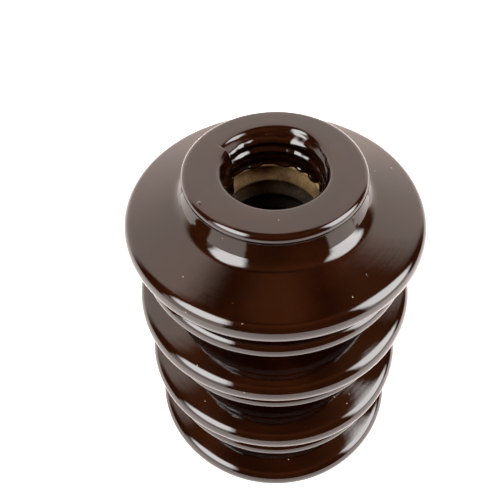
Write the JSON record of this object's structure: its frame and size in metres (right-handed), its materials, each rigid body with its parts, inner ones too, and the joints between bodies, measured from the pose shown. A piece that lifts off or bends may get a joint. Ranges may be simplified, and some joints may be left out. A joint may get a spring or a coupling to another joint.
{
  "type": "pin-type porcelain insulator",
  "caption": "Brown glazed porcelain insulator with stacked weather sheds, a threaded pin hole in one end and a tie-wire groove at the other.",
  "frame": {"origin": "centre of the bare foot on the crown, on the plane that the insulator stands on", "axes": "+Z along the axis, from the crown up to the pin-hole end face"},
  "size_m": [0.0998, 0.0998, 0.1702],
  "materials": {
    "bisque": "bare fired porcelain, matte with fine turning lines",
    "brown_glaze": "glossy dark brown fired glaze"
  },
  "bodies": {
    "root": {"porcelain_body": "bisque", "glaze_coat": "brown_glaze"}
  },
  "joints": []
}
